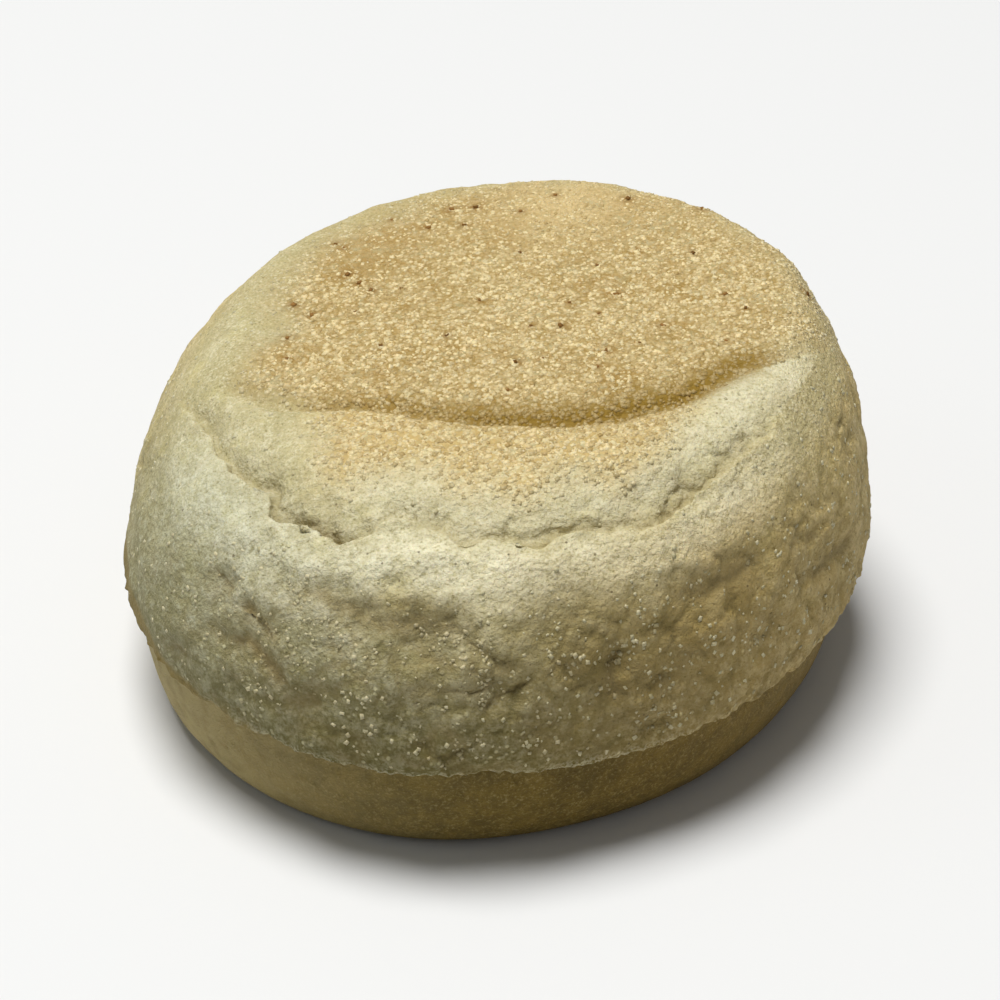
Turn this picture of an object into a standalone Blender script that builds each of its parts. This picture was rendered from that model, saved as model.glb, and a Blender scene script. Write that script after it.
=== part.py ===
"""A whole English muffin that has been split and closed again, as two separate halves.

The bottom half is a shallow, smooth-sided cake with a flat base. The top half bulges out over it. The
level part of its top lies off centre, towards the back and the right, and ends at the front in a torn
lip, with a shallow step across it.

Metres, +Z up. The origin is under the middle of the outline, at the flat base, and the front of the
muffin faces -Y.
"""

import math

import bmesh
import bpy
from mathutils import Vector, noise

MM = 0.001

# Driving dimensions.
DIAMETER = 90 * MM
HEIGHT = 42.3 * MM  # on the axis
CUT_HEIGHT = 14 * MM  # of the knife cut, on the axis
CUT_TILT = math.radians(1)  # the cut climbs towards -X
CUT_GAP = 0.3 * MM

# The bottom half.
BASE_RADIUS = 39 * MM
WALL_RADIUS = 43 * MM
BASE_CURVE_HEIGHT = 12 * MM
BASE_ROUNDNESS = 1.85

# The top half.
RIM_RADIUS = 44.3 * MM
BULGE_HEIGHT = 16.8 * MM
LEVEL_RADIUS = 32.3 * MM  # where the dome has become level
LEVEL_SHIFT = Vector((2.8 * MM, 5.4 * MM, 0))  # of the level part from the middle of the bulge
LEVEL_SLOPE = 0.055  # the level part climbs towards +X
DOME_ROUNDNESS = 1.8
CROWN = 0.6 * MM  # the level part stands this much higher in its middle
TOP_HALF_SHIFT = Vector((0.6 * MM, -0.7 * MM, 0))  # it was put back a little out of line with the bottom half

# Blanks run this far past the cut, so that the knife trims them.
TRIM = 6 * MM

SEGMENTS = 88
DOME_RINGS = 15
LEVEL_RINGS = 11
LEVEL_RING_CROWDING = 1.25  # above 1, the rings crowd towards the edge of the level part
WALL_RINGS = 9
RIM_RINGS = 5

# Routes of the folds in the top, seen from above.
TORN_LIP = [Vector((x * MM, y * MM, 0)) for x, y in (
    (-36.7, -2), (-34.3, -10), (-31, -18), (-25.5, -26.5), (-17.5, -32.5), (-8, -34.3), (4, -35.2), (15, -32),
    (25, -25), (32, -14)
)]
TOP_STEP = [Vector((x * MM, y * MM, 0)) for x, y in (
    (-33, -5), (-27.5, -9.6), (-18.4, -12.2), (-8, -14.6), (2, -17.5), (12, -17.5), (22, -15), (30, -9)
)]
ROUTE_STEPS = 5  # straight pieces between two points of a route

CRUST_COLOUR = (0.62, 0.55, 0.36)
SIDE_COLOUR = (0.48, 0.37, 0.18)


def smooth_step(low, high, value):
    share = min(1.0, max(0.0, (value - low) / (high - low)))
    return share * share * (3 - 2 * share)


def smooth_route(points):
    """The Catmull-Rom curve through the points, as a list of places."""
    ends = [2 * points[0] - points[1], *points, 2 * points[-1] - points[-2]]
    route = []
    for a, b, c, d in zip(ends, ends[1:], ends[2:], ends[3:]):
        for step in range(ROUTE_STEPS):
            t = step / ROUTE_STEPS
            route.append(
                0.5 * (2 * b + (c - a) * t + (2 * a - 5 * b + 4 * c - d) * t**2 + (3 * b - a - 3 * c + d) * t**3)
            )
    return [*route, points[-1]]


def beside_route(place, route):
    """(distance, share along the route) of the nearest point. The distance is positive on the route's right."""
    nearest = None
    for index, (start, end) in enumerate(zip(route, route[1:])):
        along = end - start
        to_place = Vector((place.x, place.y, 0)) - start
        share = min(1.0, max(0.0, to_place.dot(along) / along.length_squared))
        offset = to_place - along * share
        if nearest is None or offset.length < abs(nearest[0]):
            side = math.copysign(1, along.y * to_place.x - along.x * to_place.y)
            nearest = side * offset.length, (index + share) / (len(route) - 1)
    return nearest


def lip_lift(distance, share):
    """The terrace sinks into the tear, and the crust outside it stands up as a lip."""
    strength = smooth_step(0, 0.2, share) * (1 - smooth_step(0.75, 1, share))
    sunk = -1.9 * MM * math.exp(-abs(distance) / (6 * MM))
    raised = 0.9 * MM * math.exp(-abs(distance) / (4.5 * MM))
    return strength * (sunk + (raised - sunk) * smooth_step(-1.2 * MM, 1.8 * MM, distance))


def step_lift(distance, share):
    """The level part sinks to the step, and the terrace in front of it starts a little higher."""
    strength = smooth_step(0, 0.2, share) * (1 - smooth_step(0.75, 1, share))
    sunk = -1.0 * MM * math.exp(-abs(distance) / (4.5 * MM))
    raised = 0.3 * MM * math.exp(-abs(distance) / (7 * MM))
    return strength * (sunk + (raised - sunk) * smooth_step(-0.8 * MM, 2.6 * MM, distance))


def quarter_curve(start, end, roundness, steps):
    """Points of a superellipse's quarter that leaves start upright and reaches end level."""
    for step in range(steps + 1):
        turn = math.pi / 2 * step / steps
        across = max(0.0, math.cos(turn)) ** (2 / roundness)
        yield end[0] + (start[0] - end[0]) * across, start[1] + (end[1] - start[1]) * math.sin(turn) ** (2 / roundness)


def bottom_section():
    """Half-section of the bottom half's blank, from the middle of the base round to the middle above the cut."""
    curve = quarter_curve((WALL_RADIUS, -BASE_CURVE_HEIGHT), (BASE_RADIUS, 0), BASE_ROUNDNESS, WALL_RINGS)
    wall = [(radius, -height) for radius, height in reversed(list(curve))]
    top = CUT_HEIGHT + TRIM
    rise = (top - BASE_CURVE_HEIGHT) / RIM_RINGS
    upper = [(WALL_RADIUS, BASE_CURVE_HEIGHT + rise * ring) for ring in range(1, RIM_RINGS + 1)]
    return [(0, 0), *wall, *upper, (0, top)]


def top_section():
    """Half-section of the top half's blank, from the middle below the cut round to the middle of the top."""
    low = CUT_HEIGHT - TRIM
    rim = []
    for ring in range(RIM_RINGS):
        share = ring / RIM_RINGS
        rim.append((RIM_RADIUS + (DIAMETER / 2 - RIM_RADIUS) * share, low + (BULGE_HEIGHT - low) * share))
    dome = quarter_curve((DIAMETER / 2, BULGE_HEIGHT), (LEVEL_RADIUS, HEIGHT - CROWN), DOME_ROUNDNESS, DOME_RINGS)
    level = []
    for ring in range(1, LEVEL_RINGS + 1):
        share = 1 - (ring / LEVEL_RINGS) ** LEVEL_RING_CROWDING
        level.append((LEVEL_RADIUS * share, HEIGHT - CROWN * share**2))
    return [(0, low), *rim, *dome, *level]


def turned_blank(section):
    """A closed body turned round +Z from a half-section that starts and ends on the axis."""
    blank = bmesh.new()
    corners = [blank.verts.new((radius, 0, height)) for radius, height in section]
    edges = [blank.edges.new(pair) for pair in zip(corners, corners[1:])]
    bmesh.ops.spin(
        blank, geom=corners + edges, angle=2 * math.pi, steps=SEGMENTS, axis=(0, 0, 1), cent=(0, 0, 0), use_merge=True
    )
    bmesh.ops.remove_doubles(blank, verts=blank.verts, dist=0.01 * MM)
    bmesh.ops.recalc_face_normals(blank, faces=blank.faces)
    return blank


def spread_unevenly(blank):
    """The dough spread a little further in some directions than in others."""
    for corner in blank.verts:
        angle = math.atan2(corner.co.y, corner.co.x)
        swell = 1 + 0.024 * math.cos(2 * angle - 1.9) + 0.017 * math.cos(3 * angle - 0.2) + 0.003 * math.cos(7 * angle)
        corner.co.x *= swell
        corner.co.y *= swell


def shape_wall(blank):
    """Shallow dents in the wall of the bottom half, which leave its base flat."""
    for corner in blank.verts:
        reach = Vector((corner.co.x, corner.co.y, 0))
        if reach.length > BASE_RADIUS and corner.co.z > 0:
            dent = 0.35 * MM * noise.noise(corner.co / (13 * MM)) * smooth_step(0, 6 * MM, corner.co.z)
            corner.co += reach.normalized() * dent


def shift_level_part(place):
    """Leans the dome so that its level part lies off centre. The bulge and the mesh's middle stay."""
    radius = math.hypot(place.x, place.y)
    if radius > LEVEL_RADIUS:
        share = max(0.0, (DIAMETER / 2 - radius) / (DIAMETER / 2 - LEVEL_RADIUS))
    else:
        share = smooth_step(0, LEVEL_RADIUS, radius)
    place += LEVEL_SHIFT * share


def shape_top(blank):
    """The leaning dome, bulging sides, ragged rim, torn lip and step of the top half."""
    lip, step = smooth_route(TORN_LIP), smooth_route(TOP_STEP)
    for corner in blank.verts:
        place = corner.co
        if place.z > BULGE_HEIGHT:
            shift_level_part(place)
            height_share = smooth_step(BULGE_HEIGHT, HEIGHT - 3 * MM, place.z)
            lift = lip_lift(*beside_route(place, lip)) + step_lift(*beside_route(place, step))
            lift += 0.5 * MM * noise.noise(place / (16 * MM)) + LEVEL_SLOPE * place.x
            place.z += lift * height_share
        reach = Vector((place.x, place.y, 0))
        if reach.length > LEVEL_RADIUS:
            outward = reach.normalized()
            swelling = 0.4 * MM * noise.noise(place / (12 * MM)) + 0.25 * MM * noise.noise(place / (6 * MM))
            side_share = smooth_step(LEVEL_RADIUS, DIAMETER / 2 - 3 * MM, reach.length)
            tear = 0.4 * MM * noise.noise(outward * 9) * (1 - smooth_step(CUT_HEIGHT, BULGE_HEIGHT, place.z))
            place += outward * (swelling * side_share + tear)


def knife_cut(blank, height, keep_above):
    """Trims the blank at the tilted cut and closes it with one flat face."""
    normal = Vector((math.sin(CUT_TILT), 0, math.cos(CUT_TILT)))
    cut = bmesh.ops.bisect_plane(
        blank,
        geom=[*blank.verts, *blank.edges, *blank.faces],
        dist=0.02 * MM,
        plane_co=(0, 0, height),
        plane_no=normal,
        clear_inner=keep_above,
        clear_outer=not keep_above,
    )
    outline = [item for item in cut["geom_cut"] if isinstance(item, bmesh.types.BMEdge)]
    bmesh.ops.edgeloop_fill(blank, edges=outline)
    bmesh.ops.recalc_face_normals(blank, faces=blank.faces)


def crust_material(name, colour, roughness):
    material = bpy.data.materials.new(name)
    material.use_nodes = True
    shader = material.node_tree.nodes["Principled BSDF"]
    shader.inputs["Base Color"].default_value = (*colour, 1)
    shader.inputs["Roughness"].default_value = roughness
    shader.inputs["Metallic"].default_value = 0
    return material


def finished_half(name, blank, material):
    mesh = bpy.data.meshes.new(name)
    blank.to_mesh(mesh)
    blank.free()
    mesh.materials.append(material)
    mesh.shade_smooth()
    mesh.set_sharp_from_angle(angle=math.radians(50))
    half = bpy.data.objects.new(name, mesh)
    bpy.context.scene.collection.objects.link(half)
    return half


def make_bottom_half():
    blank = turned_blank(bottom_section())
    spread_unevenly(blank)
    shape_wall(blank)
    knife_cut(blank, CUT_HEIGHT - CUT_GAP / 2, keep_above=False)
    return finished_half("bottom_half", blank, crust_material("tan_side_crust", SIDE_COLOUR, 0.75))


def make_top_half():
    blank = turned_blank(top_section())
    spread_unevenly(blank)
    shape_top(blank)
    bmesh.ops.translate(blank, verts=blank.verts, vec=TOP_HALF_SHIFT)
    knife_cut(blank, CUT_HEIGHT + CUT_GAP / 2, keep_above=True)
    return finished_half("top_half", blank, crust_material("floury_crust", CRUST_COLOUR, 0.9))


def centre_outline(halves):
    """Puts the middle of the whole outline over the origin."""
    corners = [corner.co for half in halves for corner in half.data.vertices]
    middle_x = (min(place.x for place in corners) + max(place.x for place in corners)) / 2
    middle_y = (min(place.y for place in corners) + max(place.y for place in corners)) / 2
    for half in halves:
        for corner in half.data.vertices:
            corner.co -= Vector((middle_x, middle_y, 0))


def main():
    for leftover in list(bpy.data.objects):
        bpy.data.objects.remove(leftover)
    centre_outline([make_bottom_half(), make_top_half()])


main()
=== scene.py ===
"""An English muffin that has been split and closed again, in two halves.

The floury top half bulges out over the smooth tan bottom half. Its browned, semolina-covered top sinks at a
soft step to a terrace, which ends at the front in a torn lip.
"""

import math

import bpy
import numpy as np
from mathutils import Matrix, Vector, noise
from mathutils.bvhtree import BVHTree


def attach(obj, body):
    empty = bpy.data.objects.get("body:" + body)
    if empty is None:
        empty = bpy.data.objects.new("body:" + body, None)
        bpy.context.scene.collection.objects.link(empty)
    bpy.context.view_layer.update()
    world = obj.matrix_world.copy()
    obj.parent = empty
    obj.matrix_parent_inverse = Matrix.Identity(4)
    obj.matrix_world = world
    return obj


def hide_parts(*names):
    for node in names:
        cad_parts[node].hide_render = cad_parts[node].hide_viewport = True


MM = 0.001
SEED = 7

# How finely the halves are modelled.
GRID = 1.0 * MM
SHARP_EDGE = math.radians(50)

# Patterns of noise: the shift between two lanes, and the width of a gap, as a share of a cell.
LANE_SHIFT = 31.7
GAP_WIDTH = 0.17

# Routes of the folds over the top half, in mm. The lip and the step run from left to right, with their outer
# side on their right.
TORN_LIP = (
    (-38, -1, 35), (-36.7, -5, 36), (-33.8, -10.8, 37.3), (-32.4, -15.2, 37.5), (-30.5, -18.6, 37.5),
    (-27.6, -22.8, 37.2), (-25.6, -24.3, 37.2), (-25.3, -27.8, 37), (-23.2, -29.2, 37), (-21.3, -30.2, 37),
    (-19.5, -31.7, 37), (-18.2, -32.7, 36.9), (-16.7, -32.9, 37.3), (-14.3, -32.4, 38), (-12.2, -31.1, 38.5),
    (-10.3, -31.1, 38.6), (-8.3, -32.2, 38.6), (-5.9, -33.8, 38.6), (-3.9, -35.1, 38.5), (-0.9, -34.2, 38.6),
    (2, -34.9, 38.6), (5.3, -34.7, 38.7), (7, -33.6, 38.8), (9, -33.2, 38.9), (12, -32.8, 39), (17, -31, 39),
    (21.5, -27.6, 40), (25.5, -23.4, 40.5), (29, -18.4, 41), (31.5, -13, 41),
)
TOP_STEP = (
    (-34, -4.5, 38.5), (-27.5, -9.8, 40.5), (-20, -12, 41), (-13, -13, 41.5), (-5, -15.8, 42),
    (3, -17.5, 42.5), (11, -17.2, 42.5), (20, -14, 43), (29, -8.5, 43),
)
# How strongly the lip is torn open, at shares of the way along it.
TEAR_SHARES = (0, 0.08, 0.2, 0.3, 0.39, 0.42, 0.47, 0.53, 0.6, 0.66, 0.72, 0.8, 0.88, 1)
TEAR_STRENGTHS = (0, 0.5, 0.95, 1, 1.1, 0.35, 0.3, 0.7, 0.5, 0.8, 0.4, 0.9, 0.6, 0)
# Folds in the side: depth and half-width in mm, then the route.
SIDE_FOLDS = (
    (0.7, 1.2, ((-25, -34.6, 33.6), (-21, -37, 33.4), (-17.6, -38, 32.6), (-13.6, -39, 31.6),
                (-11, -39.9, 31), (-7.5, -39.8, 31.2), (-3.5, -40.4, 31.4), (-1, -41, 32.4))),
    (1.1, 1.0, ((-31, -34.2, 23.4), (-29.6, -34.8, 24.8), (-27.6, -36.2, 25.4), (-25.3, -38.2, 24),
                (-22.4, -40.2, 22))),
    (1.0, 0.9, ((-29.4, -33.4, 30.4), (-27.2, -35, 28.6), (-25.4, -36.4, 28), (-23.2, -38, 27.2))),
    (0.55, 0.8, ((-5, -40.8, 31), (-2.6, -41.8, 30), (0.2, -42.7, 28), (3, -42.5, 27.8))),
    (0.6, 0.7, ((4.6, -43, 26.6), (2, -43.6, 25.2), (-0.6, -44.2, 24.2), (-2.2, -44.7, 22.2))),
    (0.5, 0.9, ((-1.4, -43.9, 24.6), (-4.5, -43.8, 25.6), (-8.6, -43.4, 25.2), (-11.5, -43, 26))),
    (1.0, 0.9, ((13.4, -39.2, 28.4), (12.5, -40.6, 25.4), (13, -40.9, 22.6), (15.4, -40.4, 21.8))),
    (0.8, 1.0, ((19, -36, 32), (23, -33.8, 31), (27.5, -31, 31.4), (31, -27.4, 32.6))),
    (0.8, 1.0, ((36, -24, 24), (38.6, -19.6, 25), (40.4, -15, 23.6), (41.8, -11, 24))),
    (0.6, 1.0, ((41.4, 6, 29), (41, 11.5, 27.6), (39.2, 17, 28.4))),
    (0.6, 1.1, ((30, 33, 27), (25, 36.6, 25.4), (20, 39.4, 26.4), (15, 41, 26))),
    (0.5, 1.1, ((2, 44, 24.4), (-4, 44, 22.8), (-9.6, 43, 23.8))),
    (0.6, 1.1, ((-22, 37, 26.4), (-26.6, 34, 24.8), (-30, 31.4, 25.2))),
)
WRINKLES = 34
WRINKLE_HEIGHTS = (17.5, 32)  # in mm, like the next two
WRINKLE_LENGTHS = (2, 6)
SIDE_RADIUS = 45

# The browned part of the top: a disc that the step cuts off at the front.
BROWNED_MIDDLE = np.array((4.5, 7.4)) * MM
BROWNED_RADIUS = 33.2 * MM

# Semolina grains and burnt specks. A size is a little more than half the length.
GRAIN_BLOCK = 1.6  # the length of a grain of size 1
GRAIN_COUNT = 15800
GRAIN_SIZE = (0.2 * MM, 0.46 * MM)
SPECK_SIZE = (0.2 * MM, 0.38 * MM)

# Burnt specks are strewn, mostly over the browned part. More stand in a loose arc at its left, and within it.
STREWN_SPECKS = 22
ARC_SPECKS = 13
ARC_TURN = (95, 200)  # degrees about the middle of the browned part
ARC_LOOSENESS = 4  # degrees
ARC_REACH = (0.6, 0.95)  # shares of its radius
INNER_SPECKS = 9
INNER_REACH = (0.1, 0.55)
ABOVE_ALL = 60 * MM  # a height above the whole muffin

# Colours, as linear light.
FLOUR = (0.61, 0.55, 0.32)
FLOUR_SHADE = (0.48, 0.425, 0.22)
FLOUR_LIGHT = (0.92, 0.87, 0.63)
FLOUR_YELLOW = (0.68, 0.60, 0.28)
FLOUR_PINK = (0.60, 0.50, 0.32)
WARM_TINT = (1.0, 0.87, 0.66)
# Painted cool light, where a bluish fill light falls on the left.
PAINTED_COOL_LIGHT = (0.87, 0.915, 0.99)
# Dark bare crust, plain and warm, also used as painted shade low on the side and in hollows.
BARE_CRUST_AND_SHADE = (0.125, 0.104, 0.025)
BARE_WARM_AND_SHADE = (0.32, 0.235, 0.08)
FLECK = (0.78, 0.71, 0.42)
HALO_YELLOW = (0.53, 0.455, 0.235)
HALO_SHADE = (0.38, 0.315, 0.14)
TOASTED = (0.50, 0.35, 0.135)
TOASTED_ORANGE = (0.73, 0.56, 0.275)
TOASTED_LIGHT = (0.72, 0.58, 0.31)
TOASTED_BROWN = (0.42, 0.265, 0.085)
TOASTED_DARK = (0.27, 0.165, 0.022)
GOLDEN = (0.62, 0.45, 0.18)
GOLDEN_LIGHT = (0.80, 0.68, 0.38)
GRAIN_SHADED = (0.28, 0.175, 0.032)
SCORCHED = (0.24, 0.115, 0.02)
PINHOLE = (0.10, 0.07, 0.03)
# Painted shade in the folds, the creases and the tear.
CREASE_PAINTED_SHADE = (0.29, 0.22, 0.09)
TAN = (0.20, 0.132, 0.018)
TAN_DARK = (0.105, 0.069, 0.007)
TAN_PALE = (0.42, 0.34, 0.15)
WARM_CRUST = (0.36, 0.28, 0.10)
TAN_SPECK = (0.10, 0.065, 0.012)
CRUMB = (0.62, 0.57, 0.40)
CRUMB_DEEP = (0.42, 0.35, 0.19)
GRAIN_PALE = (0.45, 0.405, 0.23)
GRAIN_PALE_LIGHT = (0.66, 0.60, 0.38)
GRAIN_GOLD = (0.45, 0.31, 0.11)
GRAIN_GOLD_LIGHT = (0.87, 0.71, 0.39)
BURNT = (0.13, 0.058, 0.01)
BURNT_LIGHT = (0.32, 0.165, 0.045)
FLOOR_WHITE = (0.77, 0.77, 0.76)
FLOOR_WHITE_LIGHT = (0.78, 0.78, 0.77)

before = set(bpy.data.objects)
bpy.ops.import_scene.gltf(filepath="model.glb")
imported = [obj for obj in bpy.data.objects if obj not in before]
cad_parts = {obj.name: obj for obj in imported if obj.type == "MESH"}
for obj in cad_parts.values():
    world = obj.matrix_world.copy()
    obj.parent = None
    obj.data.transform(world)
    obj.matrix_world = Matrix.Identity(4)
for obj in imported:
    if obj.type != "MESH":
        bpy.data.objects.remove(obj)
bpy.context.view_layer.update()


# Working on meshes.


def only(piece):
    bpy.ops.object.select_all(action="DESELECT")
    piece.select_set(True)
    bpy.context.view_layer.objects.active = piece


def finish_with(piece, kind, **settings):
    """Adds a modifier and applies it."""
    only(piece)
    modifier = piece.modifiers.new(kind.title(), kind)
    for name, value in settings.items():
        setattr(modifier, name, value)
    bpy.ops.object.modifier_apply(modifier=modifier.name)


def corner_places(piece):
    places = np.empty(len(piece.data.vertices) * 3)
    piece.data.vertices.foreach_get("co", places)
    return places.reshape(-1, 3)


def corner_normals(piece):
    normals = np.empty(len(piece.data.vertices) * 3)
    piece.data.vertices.foreach_get("normal", normals)
    return normals.reshape(-1, 3)


def move_corners(piece, places):
    piece.data.vertices.foreach_set("co", places.ravel())
    piece.data.update()


def store(piece, name, values):
    """Keeps a number for each corner, which the piece's material reads."""
    attribute = piece.data.attributes.new(name, "FLOAT", "POINT")
    attribute.data.foreach_set("value", values.astype(np.float32))


def ease(low, high, values):
    """From 0 at low to 1 at high, with soft ends."""
    share = np.clip((values - low) / (high - low), 0, 1)
    return share * share * (3 - 2 * share)


def radius_of(places):
    return np.hypot(places[:, 0], places[:, 1])


def angle_of(places):
    """The way round the muffin, from its right by its back. The front is at minus a quarter turn."""
    return np.arctan2(places[:, 1], places[:, 0])


def leftward_of(places):
    """The way round the muffin from its left. It is positive at the back and negative at the front."""
    return np.arctan2(places[:, 1], -places[:, 0])


def in_lane(places, size, lane):
    """The places in cells of the given size, shifted so that each lane gives another pattern."""
    return (places / size + LANE_SHIFT * lane).tolist()


def wander(places, size, lane=0):
    """Smooth noise from about -1 to 1, with lumps of the given size. Each lane is another pattern."""
    return np.array([noise.noise(spot) for spot in in_lane(places, size, lane)])


def bubbles(places, size, lane=0):
    """From 0 in the middle of each of many cells of the given size to about 1 between them."""
    return np.array([noise.voronoi(spot)[0][0] for spot in in_lane(places, size, lane)])


def gaps(places, size, lane=0):
    """1 on the borders between the cells of bubbles, falling to 0 close by."""
    nearest = np.array([noise.voronoi(spot)[0][:2] for spot in in_lane(places, size, lane)])
    return hump(nearest[:, 1] - nearest[:, 0], GAP_WIDTH)


# The two halves: smooth bodies with a fine, even mesh.


def cut_of(node, facing):
    """A point on the knife cut of a half, and the way the cut faces, up or down."""
    flat = [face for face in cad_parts[node].data.polygons if face.normal.z * facing > 0.999]
    area = sum(face.area for face in flat)
    middle = sum((face.center * face.area for face in flat), Vector()) / area
    normal = sum((face.normal * face.area for face in flat), Vector()).normalized()
    return np.array(middle), np.array(normal)


def fine_half(node, name, facing):
    """A copy of a half as one even mesh, finer on its crust than on its cut."""
    half = bpy.data.objects.new(name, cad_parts[node].data.copy())
    bpy.context.scene.collection.objects.link(half)
    half.data.name = name
    half.data.materials.clear()
    only(half)
    bpy.ops.object.mode_set(mode="EDIT")
    bpy.ops.mesh.select_all(action="SELECT")
    bpy.ops.mesh.remove_doubles(threshold=0.01 * MM)
    bpy.ops.mesh.tris_convert_to_quads(face_threshold=math.radians(30), shape_threshold=math.radians(60))
    bpy.ops.mesh.select_all(action="DESELECT")
    bpy.ops.mesh.select_mode(type="EDGE")
    bpy.ops.mesh.edges_select_sharp(sharpness=SHARP_EDGE)
    bpy.ops.transform.edge_crease(value=0.9)
    bpy.ops.object.mode_set(mode="OBJECT")
    finish_with(half, "SUBSURF", levels=2, render_levels=2)
    finish_with(half, "REMESH", mode="VOXEL", voxel_size=GRID, use_smooth_shade=True)
    middle, normal = cut_of(node, facing)
    half.data.polygons.foreach_set("select", [
        bool((np.array(face.center) - middle) @ normal < -0.5 * GRID or face.normal.z * facing < 0.8)
        for face in half.data.polygons
    ])
    only(half)
    bpy.ops.object.mode_set(mode="EDIT")
    bpy.ops.mesh.select_mode(type="FACE")
    bpy.ops.mesh.subdivide(number_cuts=1, smoothness=1)
    bpy.ops.mesh.select_all(action="SELECT")
    bpy.ops.mesh.vertices_smooth(factor=0.5, repeat=3)
    bpy.ops.object.mode_set(mode="OBJECT")
    return half


# Folds.


def smooth_route(points, spacing=0.6 * MM):
    """Evenly spaced places on the Catmull-Rom curve through points in mm."""
    points = np.array(points, float) * MM
    ends = [2 * points[0] - points[1], *points, 2 * points[-1] - points[-2]]
    route = []
    for a, b, c, d in zip(ends, ends[1:], ends[2:], ends[3:]):
        steps = max(1, round(float(np.linalg.norm(c - b)) / spacing))
        for t in np.arange(steps) / steps:
            curve = 2 * b + (c - a) * t + (2 * a - 5 * b + 4 * c - d) * t**2 + (3 * b - a - 3 * c + d) * t**3
            route.append(curve / 2)
    return np.array([*route, points[-1]])


def laid_on(route, surface):
    """The route moved to the nearest places on a surface."""
    return np.array([surface.find_nearest(Vector(place))[0] for place in route])


def beside(places, normals, route, reach=14 * MM):
    """Where places lie from a route: distance, positive on its right, share along it, and the way from it."""
    distance = np.full(len(places), 1.0)
    share = np.zeros(len(places))
    away = np.zeros((len(places), 3))
    near = np.all((places > route.min(0) - reach) & (places < route.max(0) + reach), axis=1).nonzero()[0]
    spots, ups = places[near], normals[near]
    best = np.full(len(near), np.inf)
    for index, (start, end) in enumerate(zip(route, route[1:])):
        run = end - start
        part = np.clip((spots - start) @ run / (run @ run), 0, 1)
        offset = spots - start - part[:, None] * run
        length = np.linalg.norm(offset, axis=1)
        closer = (length < best).nonzero()[0]
        best[closer] = length[closer]
        side = np.where(np.einsum("ij,ij->i", np.cross(run, ups[closer]), offset[closer]) < 0, -1, 1)
        chosen = near[closer]
        distance[chosen] = side * length[closer]
        share[chosen] = (index + part[closer]) / (len(route) - 1)
        away[chosen] = offset[closer] / np.maximum(length[closer], 1e-9)[:, None]
    return distance, share, away


def hump(distance, width):
    """1 at a distance of 0, about a third at the width, and falling softly to 0 beyond it."""
    return np.exp(-((distance / width) ** 2))


def edit_where(half, chosen):
    """Opens edit mode with the chosen corners selected."""
    only(half)
    bpy.ops.object.mode_set(mode="EDIT")
    bpy.ops.mesh.select_mode(type="VERT")
    bpy.ops.mesh.select_all(action="DESELECT")
    bpy.ops.object.mode_set(mode="OBJECT")
    half.data.vertices.foreach_set("select", chosen.tolist())
    bpy.ops.object.mode_set(mode="EDIT")


def refine(half, chosen):
    """Halves the faces between the chosen corners."""
    edit_where(half, chosen)
    bpy.ops.mesh.subdivide(number_cuts=1, smoothness=1)
    bpy.ops.object.mode_set(mode="OBJECT")


def smooth_where(half, chosen, repeat):
    edit_where(half, chosen)
    bpy.ops.mesh.vertices_smooth(factor=0.5, repeat=repeat)
    bpy.ops.object.mode_set(mode="OBJECT")


def tear_lip(half, route, fold_shade):
    """The torn lip: the terrace dives under it, and the crust outside curls up and in over the tear."""
    places, normals = corner_places(half), corner_normals(half)
    distance, share, away = beside(places, normals, route)
    present = np.interp(share, TEAR_SHARES, TEAR_STRENGTHS)
    ragged = 0.6 + 0.4 * ease(0.26, 0.34, share)
    at_left = 1 - ease(0.24, 0.34, share)
    notched = hump(share - 0.36, 0.06)
    wobble = 0.85 * wander(places, 3.2 * MM, 1) + 0.6 * wander(places, 1.4 * MM, 2)
    distance = distance + MM * (ragged * wobble + 0.5 * notched * wander(places, 2 * MM, 3))
    outside = ease(-0.2 * MM, 0.2 * MM, distance)
    uneven = 1 + 0.6 * wander(places, 4 * MM, 4)
    deep = 1.1 + 0.2 * notched + 0.1 * at_left
    dive = -deep * MM * uneven * (0.55 * hump(distance, 1.2 * MM) + 0.45 * hump(distance, 3.2 * MM))
    curl = 0.5 * MM * uneven * hump(distance, 2 * MM)
    reach = (0.45 + 0.25 * notched) * MM * hump(distance, 1.3 * MM)
    lift = (outside * curl + (1 - outside) * dive) * present
    inward = (2 * outside - 1) * -reach * np.where(distance > 0, 1, 0.3) * present
    move_corners(half, places + normals * lift[:, None] + away * inward[:, None])
    smooth_where(half, np.abs(distance) < 1.2 * MM, 2)
    # Painted shade along the tear: darkest on the terrace just under the lip, with a thin line on the crest,
    # weaker at the left.
    inner = (0.5 - 0.2 * at_left) * hump(distance + 0.9 * MM, 1.1 * MM)
    inner += 0.25 * hump(distance + 2.4 * MM, 3.4 * MM)
    inner += 0.5 * hump(distance + 0.3 * MM, 0.5 * MM)
    shade = np.where(distance > 0, (1 - 0.7 * at_left) * hump(distance, 0.3 * MM), inner)
    np.maximum(fold_shade, (0.6 - 0.15 * at_left) * present * shade, fold_shade)
    return distance, share


def sink_step(half, route):
    """The soft step in the top: a low rounded edge on the terrace. The browned part sinks behind it."""
    places, normals = corner_places(half), corner_normals(half)
    distance, share, _ = beside(places, normals, route)
    present = ease(0, 0.14, share) * (1 - ease(0.85, 1, share))
    distance = distance + MM * (0.7 * wander(places, 5 * MM, 5) + 0.3 * wander(places, 2 * MM, 6))
    lift = 0.35 * MM * hump(distance - 1.5 * MM, 1.4 * MM) - 0.6 * MM * hump(distance + 0.6 * MM, 1.2 * MM)
    move_corners(half, places + normals * (lift * present)[:, None])
    return distance


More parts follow.
